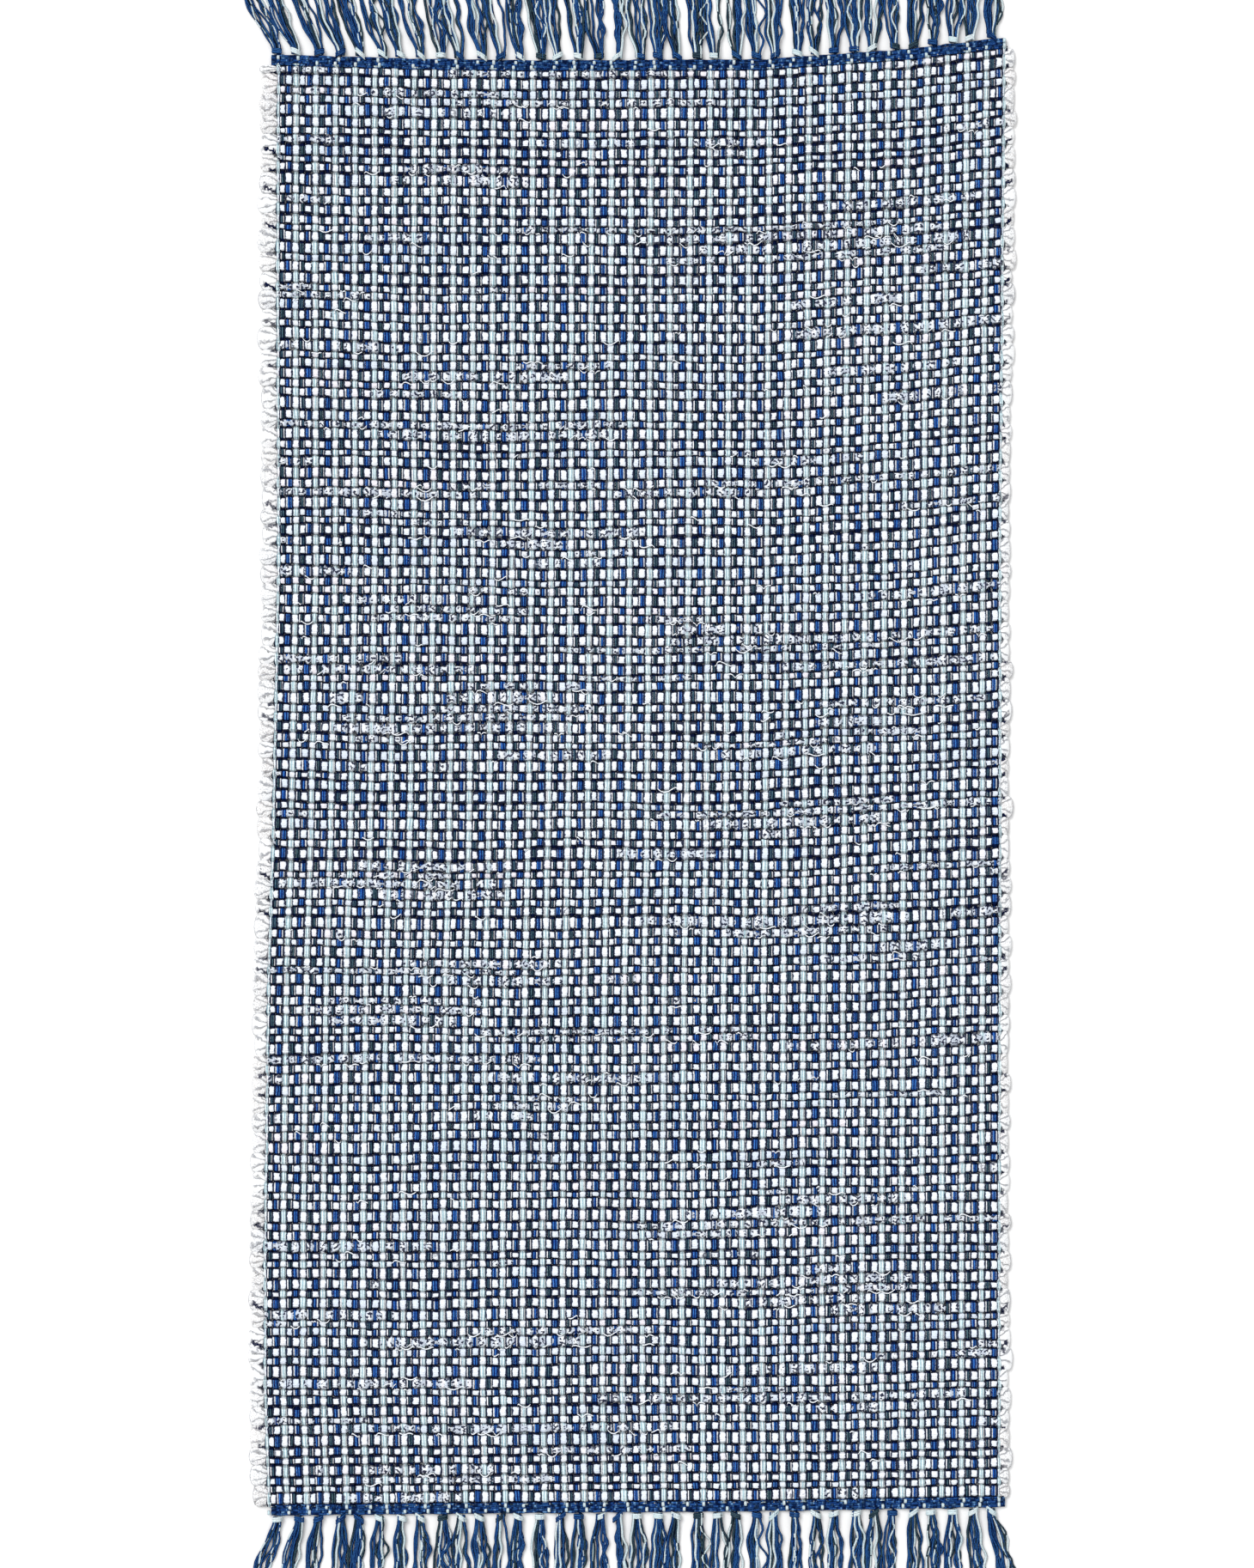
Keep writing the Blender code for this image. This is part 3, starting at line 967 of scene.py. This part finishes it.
def dot_place(end):
    """The formula of the aqua ends that show in one band."""

    def place(strand, side, up, ring, size):
        tree = strand.tree
        number = whole(strand * 0.5)
        second = strand - 2 * number
        across = across_of(3 * number + 0.2 + 0.9 * (chance(tree, strand, 8.0) - 0.5))
        row = (0.2 + 2.4 * second + ring * 2.2) * (BAND_WIDTH / BAND_ROWS)
        x = warp_x(across, 0.0 if end == "near" else 1.0) + side * size["Half width"]
        y = end_y(end, across) + SIDE_OF[end] * row
        bow = sine(math.pi * ring)
        z = BAND_HEIGHT + DOT_RISE * bow + 0.0001 + up * size["Half thickness"]
        return (x, y, z), (strand + FIRST_STRANDS["dots"], y, 0.0)

    def keep(strand):
        return maths("GREATER_THAN", chance(strand.tree, strand, 61.0 + SIDE_OF[end]), 0.25)

    return place, keep


def make_band(end):
    """A header band: its blue yarns and the pale dots between them."""
    counts = {"Strands": BAND_ROWS, "Sides": 6, "Rings": BAND_RINGS}
    sizes = {"Half width": 0.00105, "Half thickness": 0.00115}
    yarns = grow("band_" + end, band_finish, "tube", counts, sizes, band_place(end))
    counts = {"Strands": 2 * TASSELS + 2, "Sides": 6, "Rings": 5}
    sizes = {"Half width": 0.0013, "Half thickness": 0.0008}
    place, keep = dot_place(end)
    dots = grow("band_dots_" + end, loose_finish["aqua"], "tube", counts, sizes, place, keep)
    return [yarns, dots]


bands = {end: make_band(end) for end in SIDE_OF}


# %% [markdown]
# ## Tassels
#
# Three warp ends at a time are knotted close to the band and hang out as a
# loose bundle of fine, wavy yarns. The knot is a yarn wound twice round the
# bundle. Every yarn follows its tassel's line, with its own place in the
# bundle and its own waves.


# %% Where a tassel lies
CROWDING = 0.008                 # the left corner's tassels are pushed outwards this much
CROWDED = 0.06                   # and the push fades over this width
STRAY_PHASE = {"near": 0.4, "far": 2.0}
SWAY_PHASE = {"near": 1.7, "far": 2.9}


def tassel_x(number, end):
    """Where a tassel's knot leaves the band."""
    phase = STRAY_PHASE[end]
    stray = sine(2.4 * number + phase) * 0.6 + sine(0.9 * number + 2 * phase) * 0.4
    even = (number - (TASSELS - 1) / 2) * (WOVEN_WIDTH / TASSELS)
    corner = exponential((even + HALF_WIDTH) * (-1 / CROWDED))
    return even + TASSEL_STRAY * stray - CROWDING * corner


def lean(across, end):
    """Sideways travel per metre of a tassel."""
    row = LEANS[end]
    left = row["left"] * exponential((across + 1) * (-1 / row["left_reach"]))
    right = row["right"] * exponential((1 - across) * (-1 / row["right_reach"]))
    return right - left


def drift(number, end, reach):
    """How far a tassel has strayed sideways at a distance from its knot."""
    across = tassel_x(number, end) * (1 / HALF_WIDTH)
    phase = number * SWAY_PHASE[end]
    eased = reach * (1 - LEAN_EASE / STRAND_LENGTH * reach)
    sway = sine(2 * math.pi / SWAY_LENGTH * reach + phase) - sine(phase)
    return lean(across, end) * eased + SWAY * sway


# %% Tassel yarns and knots
BUNDLES = {"blue": 6, "dark": 2, "aqua": 2}
BUNDLE_REACH = {"near": 0.0057, "far": 0.0064}
YARN_START = -0.0060             # inside the knot
YARN_SEGMENTS = 20
CUT_UNEVEN = 0.006               # how much shorter the shortest yarn is
WAVE_LENGTHS = (0.031, 0.017)
KNOT_SHARES = {"blue": (0.0, 0.42), "aqua": (0.42, 0.84), "dark": (0.84, 1.01)}
KNOT_TURNS = 2
KNOT_START = 0.0012              # past the band
KNOT_RUN = 0.0040                # its length along the tassel
KNOT_WIDE = 0.0036
KNOT_TALL = 0.0019
KNOT_HEIGHT = 0.0031
KNOT_TILT = 0.006


def yarn_place(end, tone):
    """The formula of the yarns of one colour in the tassels of one end."""
    per = BUNDLES[tone]
    seed = 10.0 + TONES.index(tone)

    def place(strand, side, up, ring, size):
        tree = strand.tree
        number = whole((strand + 0.5) * (1 / per))
        own = chance(tree, strand, seed, 1.0)
        level = chance(tree, strand, seed, 2.0)
        phase = chance(tree, strand, seed, 3.0) * (2 * math.pi)
        long = STRAND_LENGTH - CUT_UNEVEN * chance(tree, strand, seed, 4.0)
        wild = rise(chance(tree, strand, seed, 5.0), 0.86, 0.92)
        reach = ring * (long - YARN_START) + YARN_START
        open_out = rise(reach, -0.004, 0.018)
        spread = (0.45 + 0.55 * open_out) * (1 + STRAND_SPREAD * ring)
        slow, quick = (2 * math.pi / length for length in WAVE_LENGTHS)
        wave = sine(slow * (1 + 0.5 * (level - 0.5)) * reach + phase)
        wave = wave + 0.6 * (1 - wild) * sine(quick * reach + phase * 2.3)
        wave = wave * open_out * size["Wave"] * (0.5 + own) * (1 + 2.2 * wild)
        knot_x = tassel_x(number, end)
        base = end_y(end, knot_x * (1 / HALF_WIDTH)) + SIDE_OF[end] * (BAND_WIDTH + KNOT_LENGTH)
        line = knot_x + drift(number, end, held(reach, 0, 1))
        thin = 1 - 0.35 * rise(ring, 0.93, 1.0)
        x = line + (own - 0.5) * 2 * size["Bundle"] * spread + wave + side * size["Radius"] * thin
        y = base + SIDE_OF[end] * reach
        stack = (0.0022 - 0.0016 * rise(ring, 0.1, 0.7)) * level
        z = size["Radius"] + stack + 0.0012 * (1 - open_out) + up * size["Radius"] * thin
        return (x, y, z), (strand, reach, level)

    return place


def knot_place(end, tone):
    """The formula of the knots of one colour: a yarn wound twice round its bundle."""
    low, high = KNOT_SHARES[tone]

    def place(strand, side, up, ring, size):
        tree = strand.tree
        turn = (ring * KNOT_TURNS - 0.25) * (2 * math.pi)
        tilt = (chance(tree, strand, 25.0) - 0.5) * KNOT_TILT
        knot_x = tassel_x(strand, end)
        base = end_y(end, knot_x * (1 / HALF_WIDTH)) + SIDE_OF[end] * (BAND_WIDTH + KNOT_START)
        x = knot_x + cosine(turn) * (KNOT_WIDE + up * size["Half thickness"])
        y = base + SIDE_OF[end] * ring * KNOT_RUN + tilt * cosine(turn) + side * size["Half width"]
        z = KNOT_HEIGHT + sine(turn) * (KNOT_TALL + up * size["Half thickness"])
        return (x, y, z), (strand + FIRST_STRANDS["knots"], ring * 0.03, 0.0)

    def keep(strand):
        luck = chance(strand.tree, strand, 21.0 + SIDE_OF[end])
        return maths("GREATER_THAN", luck, low - 0.001) * maths("LESS_THAN", luck, high)

    return place, keep


def make_tassels(end):
    """The knots and yarns of one end's tassels."""
    pieces = []
    for tone, per in BUNDLES.items():
        counts = {"Strands": per * TASSELS, "Sides": 4, "Rings": YARN_SEGMENTS}
        sizes = {"Radius": 0.00112, "Bundle": BUNDLE_REACH[end], "Wave": 0.0008}
        name = f"yarn_{tone}_{end}"
        yarns = grow(name, loose_finish[tone], "tube", counts, sizes, yarn_place(end, tone))
        counts = {"Strands": TASSELS, "Sides": 6, "Rings": 14}
        sizes = {"Half width": 0.0014, "Half thickness": 0.0009}
        name = f"knot_{tone}_{end}"
        place, keep = knot_place(end, tone)
        knots = grow(name, loose_finish[tone], "tube", counts, sizes, place, keep)
        for piece in (yarns, knots):
            pieces.append(piece)
    return pieces


tassels = {end: make_tassels(end) for end in SIDE_OF}

# %% [markdown]
# ## Floor and light
#
# The rug lies on a plain white floor in soft, even studio light. The sky
# gives most of it, and one soft sun lamp from the upper left adds relief.

# %% Floor and light
FLOOR_WHITE = (0.89, 0.89, 0.89)
FLOOR_REACH = 12.0
SKY_STRENGTH = 0.82
KEY_PLACE = (-1.2, 1.4, 2.0)     # only its direction counts
KEY_SPREAD = 0.6                 # radians, which softens the shadows
KEY_POWER = 2.0


def make_floor():
    """A wide plain floor under the rug."""
    mesh = bpy.data.meshes.new("floor")
    signs = ((-1, -1), (1, -1), (1, 1), (-1, 1))
    corners = [(x * FLOOR_REACH, y * FLOOR_REACH, 0) for x, y in signs]
    mesh.from_pydata(corners, [], [(0, 1, 2, 3)])
    floor = bpy.data.objects.new("floor", mesh)
    bpy.context.scene.collection.objects.link(floor)
    material = bpy.data.materials.new("floor")
    material.use_nodes = True
    shader = material.node_tree.nodes["Principled BSDF"]
    shader.inputs["Base Color"].default_value = (*FLOOR_WHITE, 1.0)
    shader.inputs["Roughness"].default_value = 0.9
    mesh.materials.append(material)
    return floor


def make_lamp(name, place, spread, power):
    """Parallel light with soft shadows, so that it is even over the whole floor."""
    data = bpy.data.lights.new(name, "SUN")
    data.angle = spread
    data.energy = power
    lamp = bpy.data.objects.new(name, data)
    bpy.context.scene.collection.objects.link(lamp)
    lamp.location = place
    lamp.rotation_euler = (-lamp.location).to_track_quat("-Z", "Y").to_euler()
    return lamp


def light_scene():
    """Even sky light, one soft lamp, and colours shown as they are."""
    world = bpy.data.worlds.new("sky")
    world.use_nodes = True
    sky = world.node_tree.nodes["Background"]
    sky.inputs["Color"].default_value = (1.0, 1.0, 1.0, 1.0)
    sky.inputs["Strength"].default_value = SKY_STRENGTH
    bpy.context.scene.world = world
    make_lamp("key", KEY_PLACE, KEY_SPREAD, KEY_POWER)
    bpy.context.scene.view_settings.view_transform = "Standard"


floor = make_floor()
light_scene()

# %% [markdown]
# ## Riding on the frame
#
# A rug has no joint, so every piece rides on the one body. The rag stands
# for the cloth's solid, and the bands and tassels for the fringes' solids.

# %% Ride and replace
for piece in (*warp, *rag, *turns, threads):
    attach(piece, "root")
    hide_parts("rug_cloth")
for end in SIDE_OF:
    for piece in (*bands[end], *tassels[end]):
        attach(piece, "root")
        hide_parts("fringe_" + end)

on_sheet = {
    "rag_near": [*bands["near"], *tassels["near"]],
    "rag_middle": [*warp, *turns, threads],
    "rag_far": [*bands["far"], *tassels["far"]],
}
for piece in rag:
    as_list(on_sheet[piece.name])
print("triangles in all:", sum(TRIANGLES.values()))
